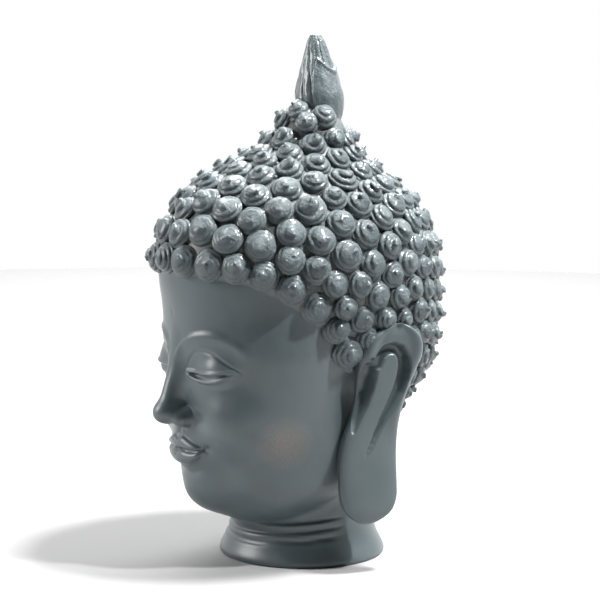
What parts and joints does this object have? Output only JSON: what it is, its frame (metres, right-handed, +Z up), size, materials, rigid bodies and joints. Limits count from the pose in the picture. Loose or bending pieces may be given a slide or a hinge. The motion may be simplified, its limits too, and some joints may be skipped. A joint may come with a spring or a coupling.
{
  "type": "buddha head sculpture",
  "caption": "Head of the Buddha in the round on a short flared neck, with snail-shell curls, long ear lobes and a flame finial, cast in resin and painted satin grey.",
  "frame": {"origin": "centre of the flat underside of the neck's foot", "axes": "the face looks along -Y, the head's left ear is at +X, +Z up through the crown to the flame's tip"},
  "size_m": [0.2001, 0.2419, 0.3996],
  "materials": {
    "painted_resin": "satin grey paint over cast resin"
  },
  "bodies": {
    "root": {"buddha_head": "painted_resin"}
  },
  "joints": []
}
